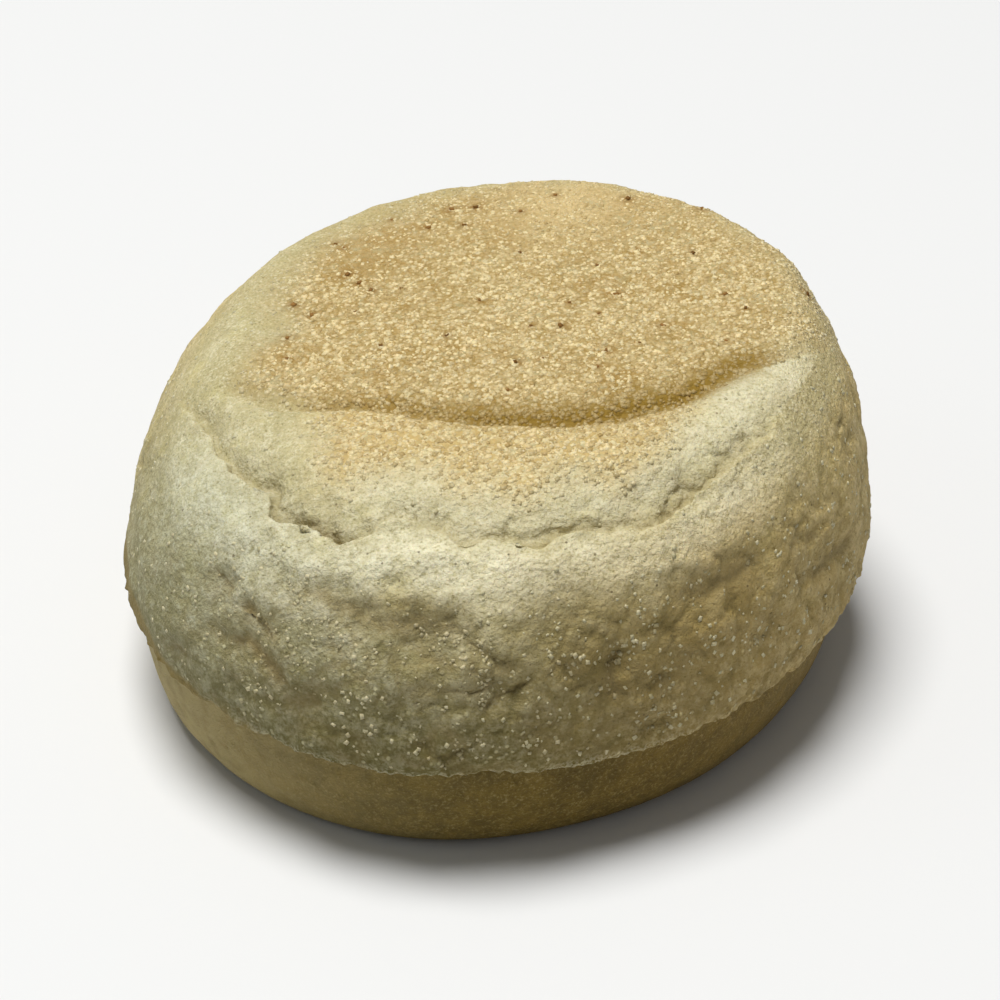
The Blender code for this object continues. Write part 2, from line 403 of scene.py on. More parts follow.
def press_fold(half, surface, points, depth, width, fold_shade):
    """A narrow fold, whose upper edge rolls over it."""
    places, normals = corner_places(half), corner_normals(half)
    distance, share, away = beside(places, normals, laid_on(smooth_route(points), surface), reach=5 * MM)
    near = (np.abs(distance) < 4 * MM).nonzero()[0]
    places_near = places[near]
    distance, share, away, normals = distance[near], share[near], away[near], normals[near]
    present = ease(0, 0.25, share) * (1 - ease(0.75, 1, share))
    uneven = wander(places_near, 2.6 * MM, 7) + 0.8 * wander(places_near, 1.2 * MM, 8)
    distance = distance + 0.7 * width * uneven
    above = np.abs(distance) * np.sign(away[:, 2])
    valley = -depth * (0.4 * hump(distance, width) + 0.6 * hump(distance, 3 * width))
    roll = 0.5 * depth * hump(above - 3.2 * width, 2.4 * width)
    pinch = -max(0, MM - width) * hump(np.abs(distance) - width, 0.9 * width)
    lifted = places_near + normals * ((valley + roll) * present)[:, None]
    places[near] = lifted + away * (pinch * present)[:, None]
    move_corners(half, places)
    # Painted shade along the fold, darker for deeper folds.
    shade = present * (0.6 * hump(distance, 0.7 * width) + 0.4 * hump(distance, 2 * width))
    shade = shade * min(1, depth / MM)
    fold_shade[near] = np.maximum(fold_shade[near], shade)


def random_wrinkles(chance):
    """Short wrinkles all round the side: depth, half-width and route."""
    for _ in range(WRINKLES):
        angle = chance.uniform(0, 2 * math.pi)
        height = chance.uniform(*WRINKLE_HEIGHTS)
        length = chance.uniform(*WRINKLE_LENGTHS)
        slope = chance.uniform(-0.5, 0.5)
        bend = chance.uniform(-0.8, 0.8)
        route = []
        for part in (-1, -0.35, 0.35, 1):
            turn = angle + part * length / 2 / 44
            rise = height + slope * part * length / 2 + bend * (1 - part * part)
            radius = SIDE_RADIUS - 0.018 * max(0, rise - 20) ** 2
            route.append((radius * math.cos(turn), radius * math.sin(turn), rise))
        backward = 0.5 + 0.5 * math.sin(angle)
        yield chance.uniform(0.3, 0.8) * (1 - 0.5 * backward), chance.uniform(0.7, 1.1), route


# Shaping the crust.


def surface_of(piece):
    places = corner_places(piece)
    return BVHTree.FromPolygons(places.tolist(), [tuple(face.vertices) for face in piece.data.polygons])


def in_front(places):
    """1 at the front, where the crust is roughest and barest and the painted shade darkest, falling to 0 at
    its back.
    """
    return hump(angle_of(places) + 1.75, 1.3)


def at_back_and_right(places):
    """1 on the back and the right, which are a little warmer, falling to 0 at the front and the left."""
    return (1 - hump(angle_of(places) + 1.95, 0.8)) * (1 - hump(leftward_of(places) + 0.5, 0.7))


def side_share(places):
    """1 on the side, falling to 0 over the shoulder."""
    return ease(33 * MM, 41 * MM, radius_of(places)) * (1 - ease(36 * MM, 40 * MM, places[:, 2]) * 0.5)


def above_cut(places, cut):
    """How far places lie from the knife cut, positive inside the half that it belongs to."""
    middle, normal = cut
    return (places - middle) @ -normal


def shape_top_half(half, cut, chance):
    places, normals = corner_places(half), corner_normals(half)
    height = above_cut(places, cut)
    on_crust = ease(0.3 * MM, 2.5 * MM, height)
    on_side = side_share(places)
    billows = 0.42 * wander(places, 9 * MM, 10) + 0.34 * wander(places, 4.6 * MM, 11)
    swell = MM * on_crust * billows * (0.35 + 0.65 * on_side)
    move_corners(half, places + normals * swell[:, None])

    surface = surface_of(half)
    lip_route = laid_on(smooth_route(TORN_LIP), surface)
    step_route = laid_on(smooth_route(TOP_STEP), surface)
    places, normals = corner_places(half), corner_normals(half)
    at_rim = (above_cut(places, cut) < 1.3 * MM) & (radius_of(places) > 41.5 * MM)
    refine(half, at_rim | (np.abs(beside(places, normals, lip_route)[0]) < 2.4 * MM))
    fold_shade = np.zeros(len(half.data.vertices))
    step_distance = sink_step(half, step_route)
    lip_distance, lip_share = tear_lip(half, lip_route, fold_shade)
    surface = surface_of(half)
    for depth, width, points in [*SIDE_FOLDS, *random_wrinkles(chance)]:
        press_fold(half, surface, points, depth * MM, width * MM, fold_shade)

    places, normals = corner_places(half), corner_normals(half)
    height = above_cut(places, cut)
    on_crust = ease(0.3 * MM, 2.5 * MM, height)
    on_side = side_share(places)
    smooth_left = hump(leftward_of(places) + 0.25, 0.75)
    rough = on_side * (1 - 0.75 * smooth_left) * (0.5 + 0.5 * in_front(places))
    warped = places + MM * np.stack([1.2 * wander(places, 5 * MM, lane) for lane in (70, 71, 72)], axis=1)
    puffed = 0.35 + 0.65 * ease(-0.3, 0.3, wander(places, 12 * MM, 17))
    wide_gaps = bubbles(warped, 3.4 * MM, 19) ** 2
    fine_gaps = bubbles(warped, 1.9 * MM, 9) ** 2
    domes = 0.8 * (0.3 - bubbles(warped, 6 * MM, 18) ** 2) + 0.8 * (0.3 - wide_gaps) + 0.7 * (0.3 - fine_gaps)
    creases = np.maximum(
        gaps(warped, 3.4 * MM, 19) * ease(-0.1, 0.35, wander(places, 5 * MM, 24)),
        gaps(warped, 1.9 * MM, 9) * ease(0.05, 0.4, wander(places, 4 * MM, 25)),
    )
    lumps = rough * (puffed * domes - 0.22 * creases + 0.1 * wander(places, 1.3 * MM, 13))
    # Lighter on the tops of the lumps and darker between them: flour with painted highlight on the tops,
    # painted shade in the gaps.
    store(half, "painted_lump_light_and_shade", rough * (0.55 - 0.5 * wide_gaps - 1.3 * fine_gaps))
    # Painted shade in the creases between the lumps, less of it near the lip.
    creases *= 1 - 0.8 * hump(lip_distance - 3 * MM, 5 * MM)
    np.maximum(fold_shade, 0.5 * rough * creases, fold_shade)
    clustered = ease(-0.1, 0.5, wander(places, 4 * MM, 60) + 0.6 * wander(places, 1.4 * MM, 61))
    store(half, "flecked", on_side * (0.25 + 0.75 * clustered) * (1 - 0.5 * smooth_left))
    lumps += 0.07 * wander(places, 1.2 * MM, 14) * (1 - on_side)
    torn = hump(lip_distance + 0.8 * MM, 4 * MM) * ease(0.22, 0.36, lip_share) * (1 - ease(0.9, 1, lip_share))
    crumbly = (0.45 + 0.5 * (lip_distance < 0)) * (0.3 - bubbles(warped, 2.3 * MM, 15) ** 2)
    lumps += torn * (crumbly + 0.16 * wander(places, 0.9 * MM, 16))
    move_corners(half, places + normals * (MM * on_crust * lumps)[:, None])
    fray_rim(half, cut)
    roughen_cut(half, cut)
    colour_top_half(half, cut, step_distance, lip_distance, lip_share, fold_shade)


def fray_rim(half, cut):
    """The rim over the cut is torn: it juts out and hangs down unevenly."""
    places = corner_places(half)
    height = above_cut(places, cut)
    outward = places * (1, 1, 0)
    radius = np.linalg.norm(outward, axis=1)
    outward /= np.maximum(radius, MM)[:, None]
    at_rim = (1 - ease(0.2 * MM, 2.2 * MM, height)) * ease(38 * MM, 41.5 * MM, radius)
    jut = 0.5 * wander(places, 2.4 * MM, 20) + 0.4 * wander(places, 0.9 * MM, 21)
    hang = 0.3 + 0.45 * wander(places, 8 * MM, 26) + 0.4 * wander(places, 3.1 * MM, 22)
    hang += 0.35 * wander(places, 0.9 * MM, 23)
    places += outward * (MM * jut * at_rim)[:, None]
    places[:, 2] -= MM * np.clip(hang, -0.3, 1) * at_rim * ease(41.5 * MM, 43.5 * MM, radius)
    move_corners(half, places)


def roughen_cut(half, cut):
    """Pores and torn crumb on the cut face."""
    places = corner_places(half)
    height = above_cut(places, cut)
    radius = radius_of(places)
    on_cut = (height < 0.4 * MM) & (radius < 42 * MM)
    spots = places[on_cut]
    pores = 1 - ease(0.15, 0.5, bubbles(spots, 3.4 * MM, 30))
    small_pores = 1 - ease(0.15, 0.45, bubbles(spots, 1.7 * MM, 31))
    depth = MM * (0.9 * pores + 0.4 * small_pores + 0.15 * (1 + wander(spots, 1.4 * MM, 32)))
    inner = 1 - ease(40 * MM, 42 * MM, radius[on_cut])
    places[on_cut] -= cut[1] * (depth * inner)[:, None]
    move_corners(half, places)
    store(half, "crumb", np.where(height < 0.5 * MM, 1.0, 0.0) * (1 - ease(40.5 * MM, 42 * MM, radius)))


def colour_top_half(half, cut, step_distance, lip_distance, lip_share, fold_shade):
    places = corner_places(half)
    flat = places * (1, 1, 0)
    radius = radius_of(places)
    reach = np.hypot(places[:, 0] - BROWNED_MIDDLE[0], places[:, 1] - BROWNED_MIDDLE[1])
    edge = BROWNED_RADIUS + MM * (2.6 * wander(flat, 11 * MM, 40) + 2 * wander(flat, 4 * MM, 41))
    edge += 4 * MM * hump(np.hypot(places[:, 0] + 28 * MM, places[:, 1] + 3 * MM), 7 * MM)
    in_disc = 1 - ease(-7 * MM, 3 * MM, reach - edge)
    behind_step = 1 - ease(-0.9 * MM, 0.5 * MM, step_distance)
    beyond = np.abs(step_distance) > 0.5
    behind_step[beyond] = (places[beyond, 1] > 0).astype(float)
    on_top = ease(27 * MM, 35 * MM, places[:, 2])
    browning = in_disc * behind_step * on_top
    inside_lip = 1 - ease(-0.6 * MM, 0.4 * MM, lip_distance)
    inside_lip[np.abs(lip_distance) > 0.5] = 1
    terrace = (1 - behind_step) * inside_lip * on_top * (places[:, 1] < 0)
    to_lip = ease(2 * MM, 11 * MM, -lip_distance + 2 * MM * wander(flat, 6 * MM, 42))
    across = ease(-25 * MM, -16 * MM, places[:, 0]) * (1 - ease(18 * MM, 27 * MM, places[:, 0]))
    golden = terrace * to_lip * across
    halo = on_top * (1 - ease(0, 7 * MM, reach - edge)) * (1 - behind_step * in_disc)
    halo = np.maximum(halo * (1 - terrace), terrace * (0.1 + 0.5 * to_lip))
    height = above_cut(places, cut)
    angle = angle_of(places)
    leftward = leftward_of(places)
    on_side = ease(30 * MM, 40 * MM, radius) * (1 - 0.6 * ease(36 * MM, 40 * MM, places[:, 2]))
    # Painted cool light on the left of the side, where a bluish fill falls.
    store(half, "painted_cool_light", hump(leftward + 0.62, 0.45) * on_side)
    store(half, "warm", on_side * at_back_and_right(places))
    band_height = 4.6 * MM * ease(-0.98, -0.25, leftward) * (1 - ease(0.5, 1.2, leftward))
    ragged = 0.8 * wander(places, 3 * MM, 43) + 0.4 * wander(places, 1.2 * MM, 47)
    above_band = height - band_height + MM * ragged
    soft = MM * (0.8 + 2.2 * ease(-0.2, 0.5, leftward))
    rim_tan = (1 - ease(0, 1, 0.5 + above_band / (2 * soft))) * ease(-1.0, -0.9, leftward)
    warm_front = 0.75 * hump(angle + 1.15, 0.4) * hump(places[:, 2] - 28 * MM, 7 * MM)
    patches = ease(0.1, 0.5, wander(places, 13 * MM, 44)) * (1 - ease(33 * MM, 37 * MM, places[:, 2]))
    away_from_front = 1 - hump(angle + 2.0, 0.8)
    # Browner crust in the trough of the first side fold, also painted shade there.
    in_fold = hump(places[:, 0] + 9.5 * MM, 6.5 * MM) * hump(places[:, 2] - 33.2 * MM, 2 * MM)
    in_fold = in_fold * (places[:, 1] < -30 * MM)
    over_fold = hump(np.linalg.norm(places - MM * np.array((6, -41, 34)), axis=1), 5.5 * MM)
    side_tan = np.clip(warm_front + 0.3 * patches * away_from_front + 0.9 * in_fold + 0.4 * over_fold, 0, 1)
    store(half, "browning", browning)
    store(half, "golden", golden)
    store(half, "halo", halo)
    store(half, "tan", side_tan)
    fringe = 0.3 * (1 - ease(0.1 * MM, 1.3 * MM, height)) * ease(42 * MM, 43 * MM, radius)
    store(half, "fringe", fringe * (1 - rim_tan))
    store(half, "tan_band", rim_tan)
    # Painted shade in the folds, the creases and the tear, which the material mixes in.
    store(half, "fold", fold_shade)
    # Thinner flour lower on the side, and painted shade: darker towards the bottom, at the front, and towards
    # the right, where a neighbouring muffin shades it.
    rise = places[:, 2] + MM * (1.6 * wander(places, 7 * MM, 45) - 2 * ease(0, 8 * MM, places[:, 0]))
    bare_and_painted_shade = 0.55 * (1 - ease(14 * MM, 34 * MM, rise)) + 0.47 * (1 - ease(29.5 * MM, 36 * MM, rise))
    store(half, "bare_and_painted_shade", bare_and_painted_shade * (0.25 + 0.75 * in_front(places)) * (1 - 0.12 * hump(leftward + 0.6, 0.4)))
    beyond_lip = lip_distance + MM * wander(places, 4 * MM, 46)
    spread = MM * (5.5 - 1.8 * ease(-4 * MM, 6 * MM, places[:, 0]))
    heavy = hump(beyond_lip - 2.6 * MM, spread) * ease(0.02, 0.25, lip_share) * (1 - ease(0.85, 1, lip_share))
    heavy *= 0.4 + 0.45 * ease(-20 * MM, -4 * MM, places[:, 0])
    heavy *= 1 - 0.5 * hump(lip_distance - 0.5 * MM, 1.6 * MM)
    inside = 0.5 * hump(lip_distance + 5 * MM, 4 * MM) * ease(-24 * MM, -12 * MM, places[:, 0])
    heavy = np.maximum(heavy, inside)
    store(half, "heavy_flour", heavy * (1 - 0.9 * fold_shade) * (1 - 0.85 * side_tan))
    orange = hump(np.hypot(places[:, 0] - 8 * MM, places[:, 1] - 32 * MM), 12 * MM)
    back_left = hump(np.hypot(places[:, 0] + 16 * MM, places[:, 1] - 24 * MM), 9 * MM)
    store(half, "orange", orange)
    worn = np.maximum(orange, back_left) + 0.3 * ease(0.2, 0.6, wander(flat, 9 * MM, 48))
    store(half, "worn", np.clip(worn + 0.3 * wander(flat, 3 * MM, 49), 0, 1) * browning)
    to_right = ease(-14 * MM, 2 * MM, places[:, 0])
    band = hump(step_distance + MM * (1.3 + 0.6 * to_right), MM * (1.9 + 0.8 * to_right)) * in_disc
    store(half, "step_band", band * (0.6 + 0.4 * to_right))


def shape_bottom_half(half, cut):
    """A smooth wall with faint ripples and pits. The base stays flat."""
    places, normals = corner_places(half), corner_normals(half)
    above_base = ease(0.2 * MM, 3 * MM, places[:, 2])
    below_cut = ease(0.1 * MM, 1.2 * MM, above_cut(places, cut))
    ripple = 0.18 * wander(places, 6 * MM, 50) + 0.07 * wander(places, 2 * MM, 51)
    pits = ease(0.25, 0.1, bubbles(places, 2.2 * MM, 52))
    lift = MM * (ripple - 0.18 * pits) * above_base * below_cut
    move_corners(half, places + normals * lift[:, None])
    leftward = leftward_of(places)
    near_cut = 1 - ease(0, 3 * MM, above_cut(places, cut))
    # Paler at the left and the back, darker at the front: painted light and shade, partly uneven browning. A
    # little paler near the cut.
    pale = 0.95 * hump(leftward + 0.42, 0.72) + 0.5 * (1 - in_front(places)) + 0.1 * near_cut
    store(half, "pale", np.clip(pale, 0, 1))
    store(half, "warm", at_back_and_right(places))
    radius = radius_of(places)
    base = 1 - ease(0.1 * MM, 0.9 * MM, places[:, 2])
    store(half, "browning", base * (1 - ease(34 * MM, 40 * MM, radius + 2 * MM * ripple)))
    roughen_cut(half, cut)


# Grains.


def grain_shape():
    """One blocky grain of 12 faces and size 1."""
    bpy.ops.object.select_all(action="DESELECT")
    bpy.ops.mesh.primitive_cube_add(size=GRAIN_BLOCK)
    grain = bpy.context.active_object
    bpy.ops.object.mode_set(mode="EDIT")
    bpy.ops.mesh.quads_convert_to_tris()
    bpy.ops.object.mode_set(mode="OBJECT")
    places = corner_places(grain)
    faces = np.array([tuple(face.vertices) for face in grain.data.polygons])
    bpy.data.objects.remove(grain)
    return places, faces


def strewn(surface_piece, density, count, chance):
    """Random places on a piece, the way up at each, and the corners around it. Density is by corner."""
    mesh = surface_piece.data
    mesh.calc_loop_triangles()
    triangles = np.empty(len(mesh.loop_triangles) * 3, int)
    mesh.loop_triangles.foreach_get("vertices", triangles)
    triangles = triangles.reshape(-1, 3)
    places, normals = corner_places(surface_piece), corner_normals(surface_piece)
    a, b, c = (places[triangles[:, corner]] for corner in range(3))
    area = np.linalg.norm(np.cross(b - a, c - a), axis=1) / 2
    weight = area * density[triangles].mean(1)
    under = triangles[chance.choice(len(triangles), count, p=weight / weight.sum())]
    share = chance.dirichlet((1, 1, 1), count)
    spots = np.einsum("nk,nkd->nd", share, places[under])
    ups = np.einsum("nk,nkd->nd", share, normals[under])
    return spots, ups / np.linalg.norm(ups, axis=1)[:, None], under


def around_browned(turns, reaches, chance):
    """Places at turns, in degrees, about the middle of the browned part, at chance shares of its radius."""
    turns = np.radians(turns)
    reach = BROWNED_RADIUS * chance.uniform(*reaches, len(turns))
    return BROWNED_MIDDLE + np.column_stack([np.cos(turns), np.sin(turns)]) * reach[:, None]


def grains_at(name, spots, ups, sizes, chance, sunk, flatness):
    """Grains of the given sizes at spots, joined in one mesh and partly sunk."""
    shape, faces = grain_shape()
    count = len(spots)
    everywhere = np.empty((count, len(shape), 3))
    for index in range(count):
        angular = shape * (1 + chance.uniform(-0.25, 0.2, shape.shape))
        across, thick = chance.uniform(0.65, 0.95), flatness * chance.uniform(0.8, 1.1)
        stretch = sizes[index] * np.array((1, across, thick))
        spin = Matrix.Rotation(chance.uniform(0, 2 * math.pi), 3, "Z").to_quaternion()
        tilt = Matrix.Rotation(chance.uniform(-0.5, 0.5), 3, "X").to_quaternion()
        matrix = np.array((Vector(ups[index]).to_track_quat("Z", "Y") @ spin @ tilt).to_matrix())
        rise = sizes[index] * flatness * (1 - 2 * sunk)
        everywhere[index] = (angular * stretch) @ matrix.T + spots[index] + ups[index] * rise
    all_faces = (faces[None] + len(shape) * np.arange(count)[:, None, None]).reshape(-1, 3)
    grains_mesh = bpy.data.meshes.new(name)
    grains_mesh.from_pydata(everywhere.reshape(-1, 3).tolist(), [], all_faces.tolist())
    grains = bpy.data.objects.new(name, grains_mesh)
    bpy.context.scene.collection.objects.link(grains)
    store(grains, "tint", np.repeat(chance.random(count), len(shape)))
    return grains


def values_of(piece, name):
    values = np.empty(len(piece.data.vertices))
    piece.data.attributes[name].data.foreach_get("value", values)
    return values


# Materials.


class Wire:
    """A socket of a material. Arithmetic on wires adds Math nodes."""

    def __init__(self, finish, socket):
        self.finish = finish
        self.socket = socket

    def math(self, operation, *values):
        return self.finish.node("ShaderNodeMath", {"operation": operation}, dict(enumerate(values)))

    def __add__(self, other):
        return self.math("ADD", self, other)

    def __radd__(self, other):
        return self.math("ADD", other, self)

    def __sub__(self, other):
        return self.math("SUBTRACT", self, other)

    def __rsub__(self, other):
        return self.math("SUBTRACT", other, self)

    def __mul__(self, other):
        return self.math("MULTIPLY", self, other)

    def __rmul__(self, other):
        return self.math("MULTIPLY", other, self)


class Finish:
    """A material, made node by node."""

    def __init__(self, name):
        self.material = bpy.data.materials.new(name)
        self.material.use_nodes = True
        self.tree = self.material.node_tree
        self.tree.nodes.clear()
        self.place = self.node("ShaderNodeTexCoord", output="Object")

    def node(self, kind, settings=None, inputs=None, output=0):
        """Adds a node, with its settings first and then the values or wires of its sockets."""
        node = self.tree.nodes.new(kind)
        for name, value in (settings or {}).items():
            setattr(node, name, value)
        for key, value in (inputs or {}).items():
            socket = node.inputs[key]
            if isinstance(value, Wire):
                self.tree.links.new(value.socket, socket)
            elif isinstance(value, tuple) and len(value) == 3 and socket.type == "RGBA":
                socket.default_value = (*value, 1)
            else:
                socket.default_value = value
        return Wire(self, node.outputs[output]) if node.outputs else None

    def noise(self, size, detail=2, roughness=0.5):
        """Cloudy noise from 0 to 1, with clouds of about the given size."""
        inputs = {"Vector": self.place, "Scale": 1 / size, "Detail": detail, "Roughness": roughness}
        return self.node("ShaderNodeTexNoise", {}, inputs)

    def cells(self, size, output="Distance"):
        """Cells of the given size: the distance from the middle of each, or its random colour."""
        return self.node("ShaderNodeTexVoronoi", {}, {"Vector": self.place, "Scale": 1 / size}, output)

    def ease(self, value, low, high):
        """From 0 at low to 1 at high, with soft ends. A low above high falls instead."""
        return self.node(
            "ShaderNodeMapRange", {"interpolation_type": "SMOOTHSTEP"},
            {"Value": value, "From Min": low, "From Max": high},
        )

    def kept(self, name):
        """A number that the mesh keeps for each corner."""
        return self.node("ShaderNodeAttribute", {"attribute_name": name}, output="Fac")

    def mix(self, share, first, second, blend="MIX"):
        return self.node(
            "ShaderNodeMix", {"data_type": "RGBA", "blend_type": blend}, {0: share, 6: first, 7: second}, 2
        )

    def shade(self, colour, roughness, height, **constants):
        """Joins colour, roughness and a height in mm to the shader."""
        bump = self.node("ShaderNodeBump", {}, {"Height": height, "Distance": MM, "Strength": 1.0})
        inputs = {"Base Color": colour, "Roughness": roughness, "Normal": bump}
        inputs.update({name.replace("_", " "): value for name, value in constants.items()})
        shader = self.node("ShaderNodeBsdfPrincipled", {}, inputs)
        self.node("ShaderNodeOutputMaterial", {}, {"Surface": shader})
        return self.material


BREAD = {
    "Subsurface_Weight": 0.15,
    "Subsurface_Radius": (1.0, 0.7, 0.35),
    "Subsurface_Scale": 1.2 * MM,
    "Specular_IOR_Level": 0.25,
}


def crumb_colour(finish):
    pores = finish.ease(finish.noise(1.1 * MM, 4, 0.65), 0.35, 0.62)
    return finish.mix(pores, CRUMB_DEEP, CRUMB)


def pebbles(finish):
    """Grains baked into the crust: distance from the middle of each, its tone, and the share between them."""
    distance = finish.cells(0.62 * MM)
    tone = finish.ease(finish.cells(0.62 * MM, "Color"), 0.25, 0.85)
    return distance, tone, finish.ease(distance, 0.4, 0.66)


def toasted_colour(finish):
    broad = finish.noise(7 * MM, 3, 0.6)
    _, tone, _ = pebbles(finish)
    toast = finish.mix(tone * finish.ease(broad, 0.62, 0.42), TOASTED, TOASTED_LIGHT)
    return finish.mix(finish.ease(broad, 0.5, 0.66) * 0.6, toast, TOASTED_BROWN)


def floury_crust():
    finish = Finish("floury_crust")
    browning, golden, halo = finish.kept("browning"), finish.kept("golden"), finish.kept("halo")
    broad = finish.noise(7 * MM, 3, 0.6)
    patchy = finish.noise(4 * MM, 3, 0.6)
    fine = finish.noise(0.9 * MM, 3, 0.65)
    dust = finish.noise(0.33 * MM, 2, 0.6)
    clumps = finish.noise(1.8 * MM, 3, 0.6)
    flour = finish.mix(finish.ease(0.25 * broad + 0.5 * clumps + 0.25 * dust, 0.4, 0.58), FLOUR_SHADE, FLOUR)
    flour = finish.mix(finish.ease(patchy, 0.5, 0.68) * 0.4, flour, FLOUR_YELLOW)
    flour = finish.mix(finish.ease(patchy, 0.46, 0.3) * 0.25, flour, FLOUR_PINK)
    flour = finish.mix(finish.ease(0.5 * clumps + 0.5 * dust, 0.52, 0.66) * 0.35, flour, FLOUR_LIGHT)
    # Lighter tops of the lumps: flour and painted highlight.
    painted_lump_light_and_shade = finish.kept("painted_lump_light_and_shade")
    flour = finish.mix(finish.ease(painted_lump_light_and_shade + 0.5 * (fine - 0.5), 0, 0.4) * 0.38, flour, FLOUR_LIGHT)
    colour = finish.mix(halo * (0.35 + 0.5 * broad), flour, HALO_YELLOW)
    colour = finish.mix(halo * finish.ease(dust, 0.57, 0.4) * 0.5, colour, HALO_SHADE)
    colour = finish.mix(halo * finish.ease(dust, 0.58, 0.7) * 0.4, colour, FLOUR_LIGHT)
    tanned = finish.kept("tan") * finish.ease(0.5 * broad + 0.5 * fine, 0.25, 0.55)
    colour = finish.mix(tanned, colour, WARM_CRUST)
    patches = finish.ease(0.3 * clumps + 0.4 * fine + 0.3 * dust, 0.6, 0.4)
    warm = finish.kept("warm")
    # Bare crust with thinner flour, and painted shade: darker low on the side and at the front.
    bare_and_painted_shade = finish.kept("bare_and_painted_shade") * (0.77 + 0.23 * patches)
    colour = finish.mix(bare_and_painted_shade, colour, finish.mix(warm, BARE_CRUST_AND_SHADE, BARE_WARM_AND_SHADE))
    # Painted shade in the hollows between the lumps, less under heavy flour.
    hollow_painted_shade = finish.ease(painted_lump_light_and_shade + 0.3 * (fine - 0.5), 0, -0.5) * (0.34 - 0.28 * finish.kept("heavy_flour"))
    colour = finish.mix(hollow_painted_shade, colour, BARE_CRUST_AND_SHADE)
    heavy = finish.kept("heavy_flour") * finish.ease(0.5 * fine + 0.5 * dust, 0.28, 0.58)
    colour = finish.mix(heavy, colour, FLOUR_LIGHT)
    fleck = finish.ease(finish.cells(0.8 * MM), 0.42, 0.16)
    fleck = fleck * finish.ease(finish.cells(0.8 * MM, "Color"), 0.35, 0.6)
    fleck = fleck * finish.kept("flecked") * (1 - 0.6 * finish.kept("tan"))
    colour = finish.mix(fleck * 0.7, colour, FLECK)
    colour = finish.mix(warm * (0.7 + 0.4 * broad), colour, WARM_TINT, "MULTIPLY")
    # Painted cool light on the left.
    colour = finish.mix(finish.kept("painted_cool_light"), colour, PAINTED_COOL_LIGHT, "MULTIPLY")
    pinholes = finish.ease(finish.cells(2.1 * MM), 0.09, 0.05)
    colour = finish.mix(pinholes * 0.7, colour, PINHOLE)
    bare_dots = finish.ease(dust, 0.38, 0.28) * (0.55 - 0.42 * finish.kept("heavy_flour"))
    colour = finish.mix(bare_dots, colour, BARE_CRUST_AND_SHADE)

    worn = finish.kept("worn")
    pebble, pebble_tone, between = pebbles(finish)
    gold = finish.mix(pebble_tone, GOLDEN, GOLDEN_LIGHT)
    toast = toasted_colour(finish)
    orange = finish.kept("orange")
    toast = finish.mix(orange * finish.ease(patchy, 0.25, 0.55), toast, TOASTED_ORANGE)
    toast = finish.mix(
        worn * (0.45 + 0.35 * finish.ease(patchy, 0.32, 0.58)) * (1 - 0.9 * orange), toast, TOASTED_BROWN
    )
    toast = finish.mix(between * (0.45 - 0.25 * worn), toast, TOASTED_DARK)
    sandy = finish.noise(0.45 * MM, 3, 0.75)
    toast = finish.mix(finish.ease(sandy, 0.5, 0.34) * (0.5 - 0.25 * worn), toast, TOASTED_DARK)
    toast = finish.mix(finish.ease(sandy, 0.52, 0.68) * (0.45 - 0.25 * worn), toast, GOLDEN_LIGHT)
    toast = finish.mix(finish.ease(clumps, 0.5, 0.36) * 0.12 * (1 - orange), toast, HALO_YELLOW)
    gold = finish.mix(between * 0.4, gold, TOASTED)
    gold = finish.mix(finish.ease(sandy, 0.48, 0.32) * 0.35, gold, TOASTED)
    mottled = finish.ease(0.45 * fine + 0.2 * dust + 0.35 * patchy, 0.32, 0.5)
    colour = finish.mix(golden * mottled, colour, gold)
    colour = finish.mix(browning * mottled, colour, toast)
    colour = finish.mix(finish.kept("step_band") * finish.ease(fine, 0.22, 0.42), colour, TOASTED_DARK)
    # Painted shade in the folds, the creases and the tear.
    colour = finish.mix(finish.kept("fold") * 0.9, colour, CREASE_PAINTED_SHADE)
    colour = finish.mix(finish.kept("fringe") * finish.ease(dust, 0.4, 0.6), colour, FLOUR_LIGHT)
    colour = finish.mix(finish.kept("scorched") * 0.7, colour, SCORCHED)
    colour = finish.mix(finish.kept("tan_band"), colour, finish.mix(0.4, tan_colour(finish), TAN_PALE))
    colour = finish.mix(finish.kept("crumb"), colour, crumb_colour(finish))
    granular = finish.noise(0.55 * MM, 3, 0.7)
    strewn = 0.35 + 0.65 * (browning + golden)
    height = 0.22 * fine + 0.34 * granular + 0.18 * fleck - 0.3 * (pebble * strewn)
    return finish.shade(colour, 0.85, height, **BREAD)


def tan_colour(finish):
    broad = finish.noise(9 * MM, 3, 0.55)
    patchy = finish.noise(2.4 * MM, 4, 0.65)
    fine = finish.noise(0.7 * MM, 3, 0.7)
    dust = finish.noise(0.3 * MM, 2, 0.6)
    colour = finish.mix(finish.ease(broad * 0.35 + patchy * 0.4 + fine * 0.25, 0.38, 0.6), TAN_DARK, TAN)
    colour = finish.mix(finish.ease(dust * 0.6 + fine * 0.4, 0.5, 0.68) * 0.5, colour, TAN_PALE)
    colour = finish.mix(finish.ease(dust, 0.42, 0.3) * 0.7, colour, TAN_SPECK)
    return colour


def tan_crust():
    finish = Finish("tan_crust")
    # Paler tan at the left and the back: painted light, partly uneven browning. The front keeps the darker
    # tan as painted shade.
    pale = finish.kept("pale") * (0.7 + 0.3 * finish.ease(finish.noise(2 * MM, 3), 0.3, 0.6))
    colour = finish.mix(pale, tan_colour(finish), TAN_PALE)
    colour = finish.mix(finish.kept("warm") * 0.6, colour, WARM_TINT, "MULTIPLY")
    colour = finish.mix(finish.kept("browning"), colour, toasted_colour(finish))
    colour = finish.mix(finish.kept("crumb"), colour, crumb_colour(finish))
    height = 0.36 * finish.noise(0.7 * MM, 3, 0.7) + 0.24 * finish.noise(0.3 * MM, 2, 0.6)
    return finish.shade(colour, 0.75, height, **BREAD)


